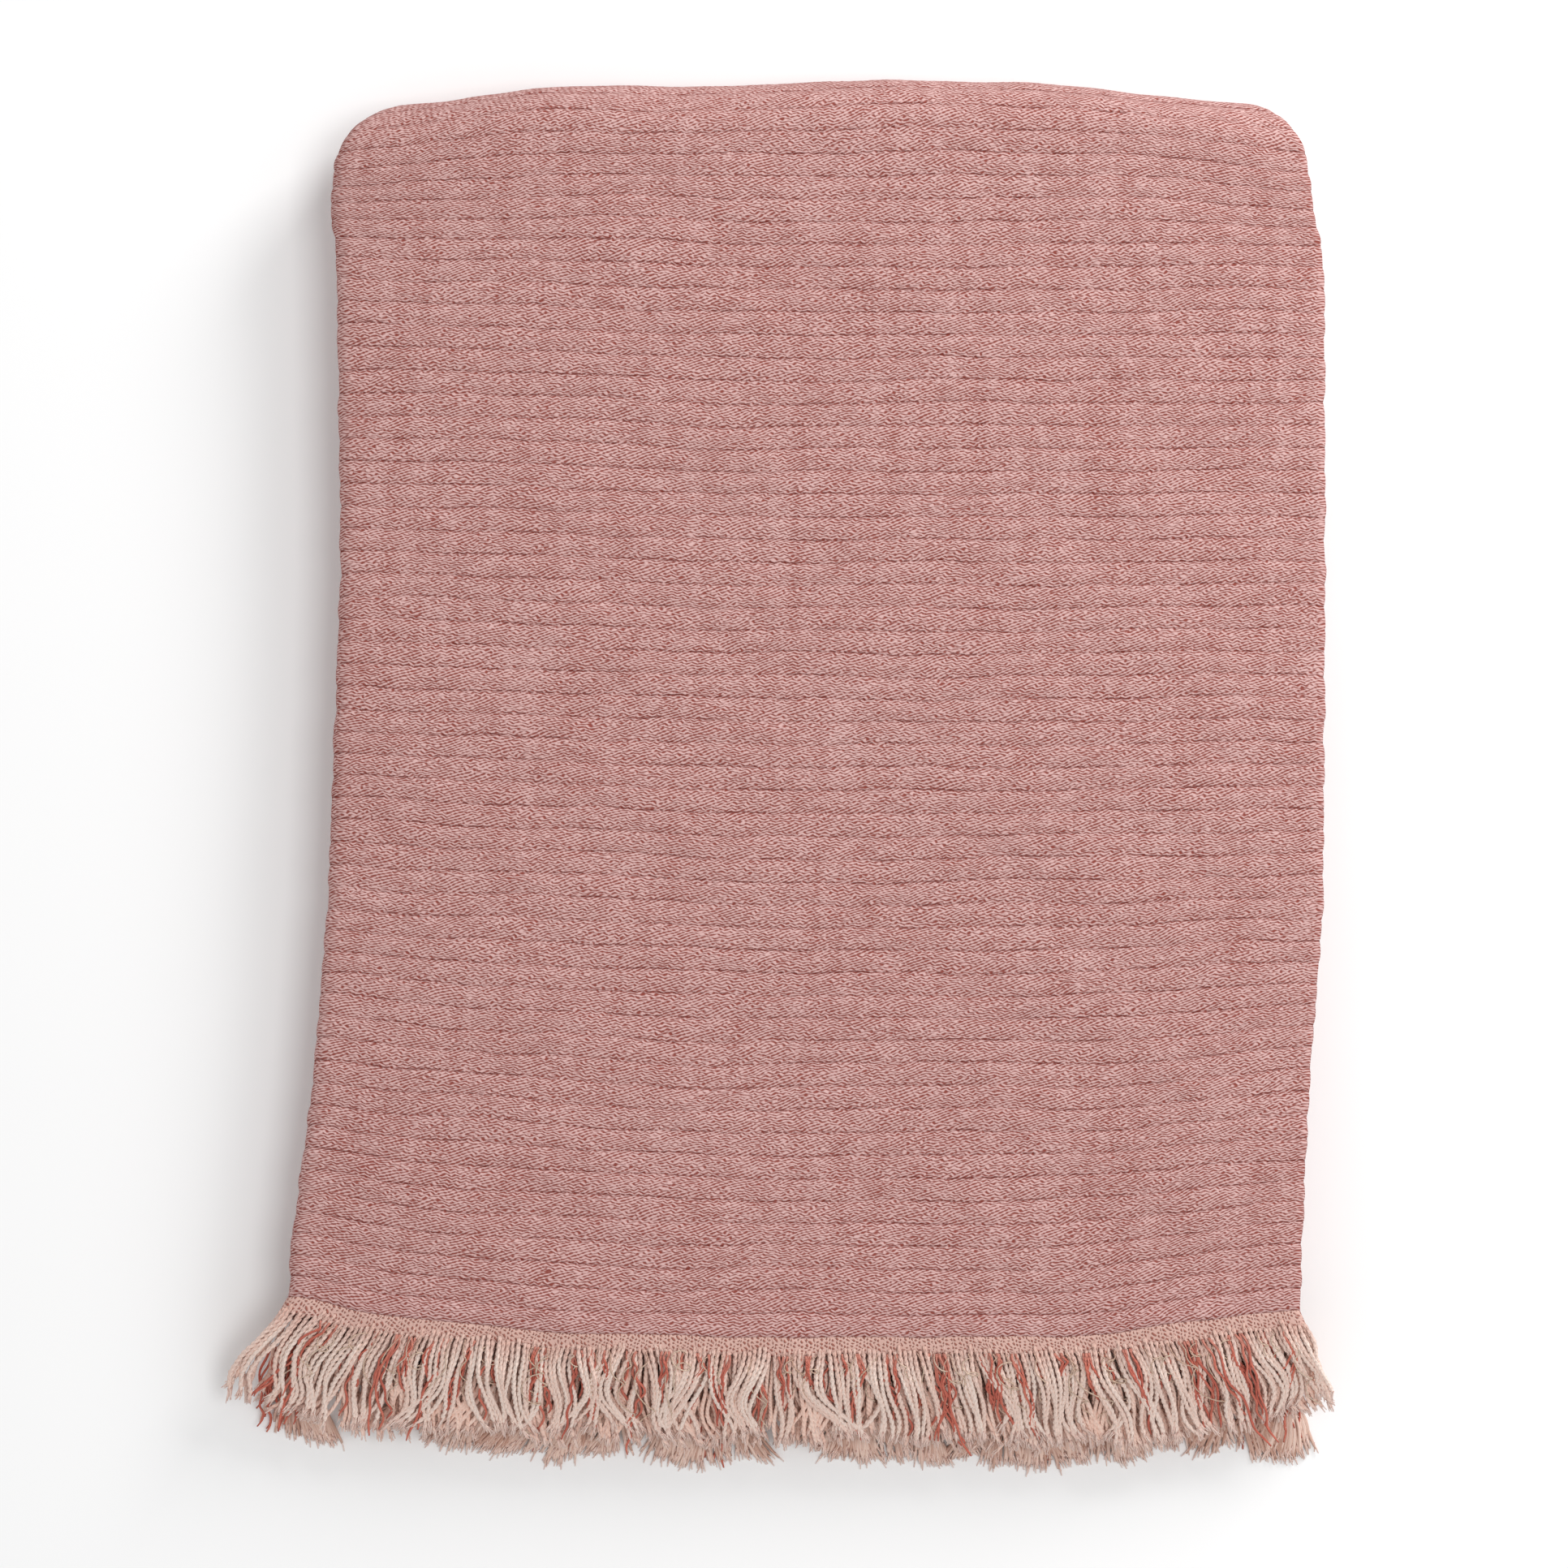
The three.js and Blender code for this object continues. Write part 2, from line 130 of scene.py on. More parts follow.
def drape(x, y, z):
    # From the evenly folded bundle to the draped one
    side = x / folded["halfWidth"]
    away = np.minimum(np.abs(side), 1.05)
    backBow, bow, frontBow = (eased(bowing, side, k, 0.08) for k in (1, 2, 3))
    bow = bow + smooth((y - bowReach["backY"]) / bowReach["backRun"]) * (backBow - bow) \
        + np.maximum(0, (bowReach["frontY"] - y) / bowReach["frontRun"]) * (frontBow - bow)
    backY = folded["backTurnY"] + 2 * strip + plyPitch / 2 - lowestFace

    def cornerInset(radius):
        into = np.clip((y - (backY - radius)) / radius, 0, 0.98)
        return radius * (1 - np.sqrt(1 - into ** 2))

    left = eased(outline, y, 1, 12) + cornerInset(corner["left"])
    right = eased(outline, y, 2, 12) - cornerInset(corner["right"])
    height = (z - 2 * strip) / (2 * strip)
    leaning = eased(fringeLie, side, 1, 0.05) * (0.25 + 0.75 * height)
    past = np.maximum(0, folded["clothEndY"] - y)
    drapedX = (left + right) / 2 + side * (right - left) / 2 + leaning * past
    fallen = z + (settling["fringe"] * (z - 2 * strip) - z) * eased(droop, y, 1, 5)
    swellX, swellY = settling["swellLengths"]
    swell = np.sin(2 * np.pi * x / swellX + 0.8) * np.sin(2 * np.pi * y / swellY + 0.4)
    edges = 1 - settling["edges"] * away ** 4
    front = 1 - settling["front"] * smooth((settling["frontY"] - y) / settling["frontRun"])
    return np.stack([
        drapedX + centring["x"],
        y + bow + centring["y"],
        fallen * edges * front * (1 + settling["swell"] * swell),
    ], axis=-1)


# The cloth's way across its width: kind of leg, level it leaves and reaches, where it starts and ends
smallTurn = plyPitch / 2
rightX = folded["halfWidth"] - smallTurn
leftX = -folded["halfWidth"] + 1.5 * plyPitch
selvedgeX = -folded["halfWidth"] + folded["selvedgeInset"]
acrossLegs = [
    {"turn": 0, "levels": (1, 1), "x": (selvedgeX, rightX)},
    {"turn": 1, "levels": (1, 0), "x": (rightX, rightX)},
    {"turn": 0, "levels": (0, 0), "x": (rightX, leftX)},
    {"turn": -1, "levels": (0, 3), "x": (leftX, leftX)},
    {"turn": 0, "levels": (3, 3), "x": (leftX, rightX)},
    {"turn": 1, "levels": (3, 2), "x": (rightX, rightX)},
    {"turn": 0, "levels": (2, 2), "x": (rightX, selvedgeX)},
]
for leg in acrossLegs:
    leg["radius"] = plyPitch * abs(leg["levels"][1] - leg["levels"][0]) / 2
    leg["length"] = math.pi * leg["radius"] if leg["turn"] else abs(leg["x"][1] - leg["x"][0])
acrossStarts = np.concatenate([[0], np.cumsum([leg["length"] for leg in acrossLegs])])

# Its way along its length: centre of each turn in strips, how far the lowest ply lies from it, which way it
# grows, the angles it turns between, how far forward it starts and ends
alongLegs = [
    {"centre": 2, "base": strip + plyPitch / 2, "grows": 1, "angles": (90, 90), "forward": (1, 0)},
    {"centre": 2, "base": strip + plyPitch / 2, "grows": 1, "angles": (90, -90), "forward": (0, 0)},
    {"centre": 1, "base": plyPitch / 2, "grows": 1, "angles": (-90, -90), "forward": (0, 1)},
    {"centre": 1, "base": plyPitch / 2, "grows": 1, "angles": (-90, -270), "forward": (1, 1)},
    {"centre": 1, "base": plyPitch / 2, "grows": 1, "angles": (90, 90), "forward": (1, 0)},
    {"centre": 2, "base": strip - plyPitch / 2, "grows": -1, "angles": (-90, 90), "forward": (0, 0)},
    {"centre": 2, "base": strip - plyPitch / 2, "grows": -1, "angles": (90, 90), "forward": (0, 1)},
]
stripOrder = ["outer", "bottom", "second", "under"]
ribs = {"perStrip": 53, "onBackTurn": 7, "pitch": 10.25, "height": 0.8, "roundness": 0.55, "wander": 0.03,
        "uneven": 0.25, "puckerPitch": 7, "pucker": 0.16}
for place, leg in enumerate(alongLegs):
    turnRadius = leg["base"] + leg["grows"] * 3 * plyPitch
    leg["length"] = math.pi * turnRadius if place % 2 else ribs["perStrip"] * ribs["pitch"]
    leg["widths"] = (stripWidths[stripOrder[place // 2]], stripWidths[stripOrder[(place + 1) // 2]])
alongLegs[1]["length"] = ribs["onBackTurn"] * ribs["pitch"]
alongStarts = np.concatenate([[0], np.cumsum([leg["length"] for leg in alongLegs])])


def legAt(legs, starts, distance):
    # Which leg each distance lies on, how far along that leg, from 0 to 1, and a reader of the legs' columns
    number = np.clip(np.searchsorted(starts, distance, side="right") - 1, 0, len(legs) - 1)
    share = (distance - starts[number]) / np.diff(starts)[number]

    def column(key, end=None):
        return np.array([leg[key] if end is None else leg[key][end] for leg in legs])[number]

    return number, share, column


def across(u):
    # Place, radius and outward normal of the cloth's middle, u along its width
    _, share, column = legAt(acrossLegs, acrossStarts, u)
    startX, endX = column("x", 0), column("x", 1)
    low, high = column("levels", 0), column("levels", 1)
    turn = column("turn")
    upFirst = np.where(low > high, 1, -1)
    return {
        "x": startX + (endX - startX) * share,
        "height": plyPitch * (low + high) / 2,
        "radius": column("radius"),
        "normalX": np.abs(turn) * np.sin(np.pi * share) * turn,
        "normalHeight": np.where(turn == 0, np.sign(endX - startX), np.cos(np.pi * share) * upFirst),
    }


def along(v):
    # Where the cloth runs, v along its length, and the angle at which its plies lie round the turn's centre
    number, share, column = legAt(alongLegs, alongStarts, v)
    start, end = column("forward", 0), column("forward", 1)
    first, last = column("angles", 0), column("angles", 1)
    startWidth, endWidth = column("widths", 0), column("widths", 1)
    return {
        "forward": start + (end - start) * share,
        "number": number,
        "centreZ": column("centre") * strip,
        "base": column("base"),
        "grows": column("grows"),
        "angle": np.radians(first + (last - first) * share),
        "width": startWidth + (endWidth - startWidth) * smooth(share),
    }


def cutY(endName, height):
    # Where a fringed end was cut, ply by ply
    end = fringedEnds[endName]
    return folded["clothEndY"] + end["endShift"] - end["stagger"] * (3 - height / plyPitch)


def unevenness(points):
    x, y, z = points[..., 0], points[..., 1], points[..., 2]
    top = smooth(z / irregular["fullHeight"])
    moved = points.copy()
    long, short = irregular["lines"]
    moved[..., 1] += top * (long * ripple(x, y, (210, 160), 1) + short * ripple(x, y, (60, 50), 2))
    long, short = irregular["level"]
    moved[..., 2] += top * (long * ripple(x, y, (150, 120), 3) + short * ripple(x, y, (40, 36), 4))
    atSides = smooth((np.abs(x) - irregular["sidesFrom"]) / 60)
    moved[..., 0] += atSides * irregular["sides"] * ripple(y, z, (36, 90), 5)
    return moved


def clothPoint(u, v, w):
    # A point of the draped cloth, in metres: u across, v along, w out from the middle of its thickness
    a, b = across(u), along(v)
    reach = a["radius"] + w
    height = a["height"] + reach * a["normalHeight"]
    distance = b["base"] + b["grows"] * height
    frontY = np.where(b["number"] == 0, cutY("outer", height), folded["frontTurnY"])
    frontY = np.where(b["number"] == 6, cutY("under", height), frontY)
    y = folded["backTurnY"] + (frontY - folded["backTurnY"]) * b["forward"]
    return unevenness(drape(
        (a["x"] + reach * a["normalX"]) * b["width"],
        y + distance * np.cos(b["angle"]),
        b["centreZ"] + distance * np.sin(b["angle"]) - lowestFace,
    )) * mm


def fringePoint(endName, u, past, w=0.0, sideways=0.0, lift=0.0):
    # A point beyond a fringed end, in metres: how far past the cloth, to the side of its root, above its ply
    a, leg = across(u), alongLegs[0 if endName == "outer" else -1]
    reach = a["radius"] + w
    height = a["height"] + reach * a["normalHeight"]
    return unevenness(drape(
        (a["x"] + reach * a["normalX"]) * stripWidths[endName] + sideways,
        cutY(endName, height) - past,
        leg["centre"] * strip + leg["base"] + leg["grows"] * height - lowestFace + lift,
    )) * mm


def crinkle(u, v):
    # Soft ribs with narrow puckered valleys between them, fading out where the cloth turns under
    a, b = across(u), along(v)
    phase = v / ribs["pitch"] + ribs["wander"] * ripple(u, v, (90, 70), 6)
    bulge = np.abs(np.sin(np.pi * phase)) ** ribs["roundness"]
    pucker = np.cos(2 * np.pi * (u / ribs["puckerPitch"] + 0.35 * ripple(u, v, (70, 44), 7)))
    uneven = 1 + ribs["uneven"] * ripple(u, v, (120, 26), 8)
    onTop = np.where(b["number"] <= 1, 1, 0) * smooth(1.6 + 1.6 * np.sin(b["angle"]))
    shown = smooth(2 * a["normalHeight"] + 0.6) * onTop
    return shown * ribs["height"] * uneven * (bulge + ribs["pucker"] * pucker * (1 - 0.6 * bulge) - 0.05)


def meshOf(name, bm):
    mesh = bpy.data.meshes.new(name)
    bm.to_mesh(mesh)
    bm.free()
    made = bpy.data.objects.new(name, mesh)
    bpy.context.collection.objects.link(made)
    for polygon in mesh.polygons:
        polygon.use_smooth = True
    return made


def coordinates(mesh):
    values = np.empty(len(mesh.vertices) * 3)
    mesh.vertices.foreach_get("co", values)
    return values.reshape(-1, 3)


def moveTo(mesh, points):
    mesh.vertices.foreach_set("co", points.astype(np.float32).ravel())
    mesh.update()


def flatSheet(columns, rows, thickness):
    # A slab of cloth lying flat, with a line of points at each column and row
    bm = bmesh.new()
    bmesh.ops.create_grid(bm, x_segments=len(columns) - 1, y_segments=len(rows) - 1, size=0.5)
    for vertex in bm.verts:
        i = round((vertex.co.x + 0.5) * (len(columns) - 1))
        j = round((vertex.co.y + 0.5) * (len(rows) - 1))
        vertex.co = (columns[i], rows[j], thickness / 2)
    bmesh.ops.solidify(bm, geom=bm.faces[:], thickness=thickness)
    middle = sum(vertex.co.z for vertex in bm.verts) / len(bm.verts)
    for vertex in bm.verts:
        vertex.co.z = math.copysign(thickness / 2, vertex.co.z - middle)
    bmesh.ops.recalc_face_normals(bm, faces=bm.faces[:])
    return bm


def flatMap(bm):
    layer = bm.loops.layers.uv.new("UVMap")
    for face in bm.faces:
        for loop in face.loops:
            loop[layer].uv = (loop.vert.co.x * mm, loop.vert.co.y * mm)


# The folded cloth
clothFineness = {"columnsShown": 16, "columnsPerPly": 7, "rowsPerStrip": 10, "atSmallTurn": 4,
                 "atLargeTurn": 6, "cutsAcross": 8, "cutsPerRib": 7}


def stations(starts, counts):
    # Places along the legs, each leg cut into its own count of equal steps
    made = [0.0]
    for start, end, count in zip(starts[:-1], starts[1:], counts):
        made += list(start + (end - start) * np.arange(1, count + 1) / count)
    return made


def foldedCloth():
    size = clothFineness
    ply, small, large = size["columnsPerPly"], size["atSmallTurn"], size["atLargeTurn"]
    columns = stations(acrossStarts, [ply, small, ply, large, size["columnsShown"], small, ply])
    row = size["rowsPerStrip"]
    rows = stations(alongStarts, [ribs["perStrip"], ribs["onBackTurn"], row, large, row, large, row])
    bm = flatSheet(columns, rows, clothSizes["thickness"])
    lastRow = alongStarts[2] + 0.01
    turnMiddle = (acrossStarts[3] + acrossStarts[4]) / 2
    firstColumn, lastColumn = turnMiddle - 0.01, acrossStarts[5] + 0.5 * acrossLegs[5]["length"] + 0.01

    def shown(edge):
        return all(v.co.z > 0 and v.co.y < lastRow and firstColumn < v.co.x < lastColumn for v in edge.verts)

    alongEdges = [e for e in bm.edges if shown(e) and abs(e.verts[0].co.x - e.verts[1].co.x) < 1e-3]
    bmesh.ops.subdivide_edges(bm, edges=alongEdges, cuts=size["cutsPerRib"] - 1, use_grid_fill=True)
    firstFine, lastFine = acrossStarts[4] - 0.01, acrossStarts[5] + 0.01
    acrossEdges = [
        e for e in bm.edges
        if shown(e) and abs(e.verts[0].co.y - e.verts[1].co.y) < 1e-3
        and all(firstFine < v.co.x < lastFine for v in e.verts)
    ]
    bmesh.ops.subdivide_edges(bm, edges=acrossEdges, cuts=size["cutsAcross"], use_grid_fill=True)
    bmesh.ops.triangulate(bm, faces=[f for f in bm.faces if len(f.verts) > 4])
    flatMap(bm)
    made = meshOf("folded_cloth", bm)
    flat = coordinates(made.data)
    u, v, w = flat.T
    moveTo(made.data, clothPoint(u, v, w + np.where(w > 0, crinkle(u, v), 0)))
    return made


headingFineness = {"columns": (90, 4, 90, 8, 220, 5, 90), "rows": 6, "thinner": 0.25}


def fringedHeading(endName):
    # The plain-woven strip that closes a fringed end, a hair's breadth from the cloth
    columns = stations(acrossStarts, headingFineness["columns"])
    rows = list(np.linspace(0, heading["width"], headingFineness["rows"]))
    bm = flatSheet(columns, rows, clothSizes["thickness"])
    flatMap(bm)
    made = meshOf(endName + "_heading", bm)
    u, past, w = coordinates(made.data).T
    w = w * (1 - headingFineness["thinner"] * past / heading["width"])
    moveTo(made.data, fringePoint(endName, u, past * 0.97 + heading["gap"] / 3, w))
    return made


def directions(paths):
    # Ahead, aside and above at each point of each path
    ahead = np.gradient(paths, axis=1)
    ahead /= np.linalg.norm(ahead, axis=2, keepdims=True)
    aside = np.cross((0.0, 0.0, 1.0), ahead)
    aside /= np.linalg.norm(aside, axis=2, keepdims=True)
    return ahead, aside, np.cross(ahead, aside)


# Yarns: one short tube, repeated and then bent along each yarn's own path
def yarnTubes(name, paths, radii, sides, tones):
    apart = 10
    count, rings = paths.shape[0], paths.shape[1] - 1
    bm = bmesh.new()
    bmesh.ops.create_cone(bm, cap_ends=True, segments=sides, radius1=1, radius2=1, depth=1)
    bmesh.ops.translate(bm, verts=bm.verts[:], vec=(0, 0, 0.5))
    longEdges = [e for e in bm.edges if abs(e.verts[0].co.z - e.verts[1].co.z) > 0.5]
    bmesh.ops.subdivide_edges(bm, edges=longEdges, cuts=rings - 1, use_grid_fill=True)
    layer = bm.loops.layers.uv.new("UVMap")
    for face in bm.faces:
        middle = face.calc_center_median()
        facing = math.atan2(middle.y, middle.x)
        for loop in face.loops:
            turn = math.atan2(loop.vert.co.y, loop.vert.co.x) - facing
            turn = (turn + math.pi) % (2 * math.pi) - math.pi
            loop[layer].uv = ((facing + turn) / (2 * math.pi) + 0.5, loop.vert.co.z)
    tube = meshOf(name, bm)
    row = tube.modifiers.new("row", "ARRAY")
    row.use_relative_offset = False
    row.use_constant_offset = True
    row.constant_offset_displace = (apart, 0, 0)
    row.count = count
    made = bpy.data.meshes.new_from_object(tube.evaluated_get(bpy.context.evaluated_depsgraph_get()))
    tube.modifiers.clear()
    tube.data = made
    made.name = name

    straight = coordinates(made)
    which = np.rint(straight[:, 0] / apart).astype(int)
    ring = np.rint(straight[:, 2] * rings).astype(int)
    turned = np.arctan2(straight[:, 1], straight[:, 0] - apart * which)[:, None]
    _, aside, above = directions(paths)
    around = np.cos(turned) * aside[which, ring] + np.sin(turned) * above[which, ring]
    moveTo(made, paths[which, ring] + radii[which, ring, None] * mm * around)
    tone = made.attributes.new("tone", "FLOAT", "POINT")
    tone.data.foreach_set("value", np.asarray(tones, dtype=np.float32)[which])
    return tube


def twisted(paths, offset, pitch):
    # The two strands of a plied yarn, wound round its path
    length = np.cumsum(np.linalg.norm(np.gradient(paths, axis=1), axis=2), axis=1)
    _, aside, above = directions(paths)
    start = random.uniform(0, 2 * np.pi, (len(paths), 1))
    turn = start + 2 * np.pi * length / (pitch * mm)
    swing = offset * mm * (np.cos(turn)[..., None] * aside + np.sin(turn)[..., None] * above)
    return np.concatenate([paths + swing, paths - swing])


def onFloor(paths, radii):
    paths[..., 2] = np.maximum(paths[..., 2], radii * mm)
    return paths


def lieOf(side, column):
    # The lean or reach of the fringe at a side, from -1 at the left to 1 at the right
    return np.interp(side, fringeLie[:, 0], fringeLie[:, column])


def clumpReach(x):
    # How much further the under fringe comes out in its clumps
    inside = 1 - np.abs(x[:, None] - clumps[:, 0]) / clumps[:, 1]
    return np.max(clumps[:, 2] * smooth(1.6 * inside), axis=1)


# How the bunches sway: less near the sides, and a few that stray over their neighbours
swaying = {"calmer": 0.85, "calmFrom": 0.6, "mostLean": 0.26, "strayLean": 0.32, "strayLift": 1.6,
           "intoHeading": 3.4, "wave": 0.8}


def bunches(count, smallest, largest):
    # Which bunch each yarn of a row belongs to, and how far it stands from the bunch's middle
    number, middle = np.zeros(count, int), np.zeros(count)
    at = bunch = 0
    while at < count:
        size = int(random.integers(smallest, largest + 1))
        number[at:at + size] = bunch
        inside = np.arange(at, min(at + size, count))
        middle[inside] = inside - inside.mean()
        at += size
        bunch += 1
    return number, middle


def grouped(size, share, number):
    # A random amount that each bunch has as a whole, and a smaller one of each yarn's own
    return random.normal(0, size, number.max() + 1)[number] + random.normal(0, size * share, len(number))


def yarnPaths(endName, first, last, count, rings, lie):
    # Paths of a row of yarns that hang from one ply of a fringed end, in bunches that sway together
    u = np.linspace(first, last, count + 2)[1:-1] + random.uniform(-0.4, 0.4, count)
    side = across(u)["x"] / folded["halfWidth"]
    number, middle = bunches(count, *lie["bunch"])
    groups = number.max() + 1
    groupSide = np.array([side[number == group].mean() for group in range(groups)])
    calm = 1 - swaying["calmer"] * smooth((np.abs(groupSide) - swaying["calmFrom"]) / 0.3)
    strayed = (random.uniform(0, 1, groups) < lie["strays"]) * random.choice([-1, 1], groups) * (calm > 0.9)
    most = swaying["mostLean"]
    lean = calm * np.clip(random.normal(0, lie["lean"], groups), -most, most) + swaying["strayLean"] * strayed
    lean = lean[number] + random.normal(0, lie["lean"] / 4, count)
    bend = grouped(lie["bend"], 1 / 5, number)
    phase = random.uniform(-0.6, 0.6, groups)[number]
    lift = (random.uniform(0, lie["lift"], groups) + swaying["strayLift"] * np.abs(strayed))[number]
    lift = lift + random.uniform(0, 0.5, count)
    uneven = grouped(lie["uneven"], 1 / 2, number)
    reach = lieOf(side, 2) - fringedEnds[endName]["shorter"] + lie["longer"] + uneven
    gather = -lie["gather"] * middle * (last - first) / count
    columns = (lean, bend, phase, lift, reach, gather)
    lean, bend, phase, lift, reach, gather = (column[:, None] for column in columns)

    s = np.linspace(0, 1, rings + 1)[None, :]
    start = heading["width"] - 1.2 - swaying["intoHeading"] * random.uniform(0, 1, (count, 1)) ** 2
    past = start + s * (heading["width"] + heading["gap"] + reach - start)
    wave = swaying["wave"] * s * np.sin(3 * np.pi * s + random.uniform(0, 2 * np.pi, (count, 1)))
    bow = bend * s * np.sin(np.pi * (1.35 * s + phase))
    sideways = lean * reach * s ** 1.3 + bow + gather * s ** 1.5 + wave
    raised = lift * np.sin(np.pi * np.minimum(1, 0.1 + s * 1.1)) ** 0.8
    return fringePoint(endName, np.repeat(u[:, None], rings + 1, axis=1), past, 0.0, sideways, raised)


def loosePaths(count, rings, lie):
    # Curly single threads and brick-coloured yarns that lie among the pale ones
    places = (np.arange(count) + random.uniform(-0.6, 1.6, count)) / count
    first, last = acrossStarts[4] + lie["inset"], acrossStarts[5] - lie["inset"]
    u = first + places.clip(0, 1) * (last - first)
    s = np.linspace(0, 1, rings + 1)[None, :]
    long = random.uniform(*lie["reach"], count)[:, None]
    if lie["at"] is not None:
        rootX = random.choice(lie["at"], count) + random.normal(0, 7, count)
        u = acrossStarts[4] + rootX - acrossLegs[4]["x"][0]
        long = long + clumpReach(across(u)["x"])[:, None]
    waves = random.uniform(*lie["waves"], count)[:, None]
    swing = random.uniform(*lie["swing"], count)[:, None]
    start = random.uniform(0, 2 * np.pi, count)[:, None]
    curl = swing * np.minimum(1, 3 * s)
    turn = 2 * np.pi * waves * s + start
    root = heading["width"] + heading["gap"] - 0.5
    past = np.maximum(root + s * long + 0.75 * curl * (np.cos(turn) - np.cos(start)), heading["width"] - 2)
    lean = random.normal(0, lie["lean"], count)[:, None]
    sideways = lean * long * s + curl * np.sin(turn)
    lift = random.uniform(*lie["lift"], count)[:, None]
    raised = lift * np.sin(np.pi * np.minimum(1, 0.15 + s)) ** 0.7
    return np.repeat(u[:, None], rings + 1, axis=1), past, sideways, raised


paleYarn = {"topCount": 206, "secondCount": 190, "lowerCount": 120, "rings": 44, "lowerRings": 14,
            "radius": 0.84, "lowerRadius": 1.05, "strandOffset": 0.38, "twistPitch": 7.2}
topLie = {"bunch": (2, 6), "lean": 0.11, "bend": 4.6, "lift": 3.0, "uneven": 1.8, "longer": -1,
          "gather": 0.3, "strays": 0.1}
lowerLie = {"bunch": (3, 8), "lean": 0.16, "bend": 3.0, "lift": 0.9, "uneven": 2.2, "longer": -1,
            "gather": 0.3, "strays": 0}
plyLegs = {"ply1": 0, "ply0": 2, "ply3": 4, "ply2": 6}


def taper(paths, radius, tip, root=1.0):
    # A radius at each point: a little uneven, thinner by the root and tip shares at the two ends
    s = np.linspace(0, 1, paths.shape[1])[None, :]
    swell = 1 + 0.1 * np.sin(2 * np.pi * (3 * s + random.uniform(0, 1, (len(paths), 1))))
    swell = swell * (root + (1 - root) * smooth(s / 0.14))
    return radius * swell * (1 - (1 - tip) * smooth((s - 0.9) / 0.1))


def topYarns():
    size = paleYarn
    first = acrossStarts[3] + 0.35 * acrossLegs[3]["length"]
    last = acrossStarts[5] + 0.7 * acrossLegs[5]["length"]
    paths = yarnPaths("outer", first, last, size["topCount"], size["rings"], topLie)
    strands = twisted(paths, size["strandOffset"], size["twistPitch"])
    tones = np.tile(random.uniform(0, 1, len(paths)), 2)
    return yarnTubes("top_yarns", strands, taper(strands, size["radius"], 0.45, 0.85), 4, tones), paths


def lowerYarns(endName, plies):
    # Plainer yarns that hang from the plies below and round the turns
    size, rows = paleYarn, []
    for ply in plies:
        count = size["secondCount" if ply == "ply2" and endName == "outer" else "lowerCount"]
        first, last = acrossStarts[plyLegs[ply]], acrossStarts[plyLegs[ply] + 1]
        rows.append(yarnPaths(endName, first, last, count, size["lowerRings"], lowerLie))
    for turn, count in {1: 3, 3: 6, 5: 3}.items():
        first, last = acrossStarts[turn], acrossStarts[turn + 1]
        rows.append(yarnPaths(endName, first, last, count, size["lowerRings"], lowerLie))
    paths = np.concatenate(rows)
    radii = taper(paths, size["lowerRadius"], 0.75)
    tones = random.uniform(0, 1, len(paths))
    return yarnTubes(endName + "_lower_yarns", onFloor(paths, radii), radii, 6, tones), paths


# Tufts of the under fringe: open, fluffy strands that fan out over the floor
tufts = {"rings": 12, "strands": 14, "spacing": 4.6, "rootPast": 14, "fan": 0.22, "leanUneven": 0.13,
         "opened": 0.13, "shorter": 4.5, "uneven": 2.6, "swing": 1.6, "lift": 5, "radius": 0.78}


def brushes():
    size, parts, tones = tufts, [], []
    strands = (size["strands"], 1)
    s = np.linspace(0, 1, size["rings"] + 1)[None, :]
    for (x, halfWidth, reach), clumpLean in zip(clumps, clumpLeans):
        for place in np.arange(-0.9, 0.91, size["spacing"] / halfWidth):
            lean = clumpLean + size["fan"] * place + random.normal(0, size["leanUneven"])
            rootX = x + 0.8 * halfWidth * place - 26 * clumpLean
            u = acrossStarts[4] + rootX - acrossLegs[4]["x"][0] + random.normal(0, 0.9, strands)
            u = np.clip(u, acrossStarts[4] + 1, acrossStarts[5] - 1)
            side = across(u)["x"] / folded["halfWidth"]
            longest = lieOf(side, 2) - fringedEnds["under"]["shorter"] + reach * (1 - 0.4 * place ** 2)
            longest = longest + random.normal(-size["shorter"], size["uneven"])
            tipPast = heading["width"] + longest + random.normal(0, 1.1, strands)
            past = size["rootPast"] + s * (tipPast - size["rootPast"])
            opened = random.normal(0, size["opened"], strands)
            swing = random.normal(0, size["swing"]) + random.normal(0, 0.35, strands)
            sideways = (lean + opened) * 0.6 * tipPast * s ** 1.4
            sideways = sideways + swing * s * np.sin(2 * np.pi * (0.8 * s + place))
            lift = random.uniform(0, size["lift"]) + random.uniform(0, 1.8, strands)
            raised = lift * np.sin(np.pi * np.minimum(1, 0.3 + 0.7 * s))
            u = np.repeat(u, size["rings"] + 1, axis=1)
            parts.append(fringePoint("under", u, past, 0.0, sideways, raised))
            tone = random.uniform(0, 1) + random.normal(0, 0.3, size["strands"])
            tones.append(np.clip(tone, 0, 1))
    paths, tones = np.concatenate(parts), np.concatenate(tones)
    radii = taper(paths, size["radius"], 0.55)
    return yarnTubes("under_brushes", onFloor(paths, radii), radii, 4, tones), paths


yarnEndHair = {"into": 3, "across": 0.42, "radii": (0.42, 0.4, 0.36, 0.24)}


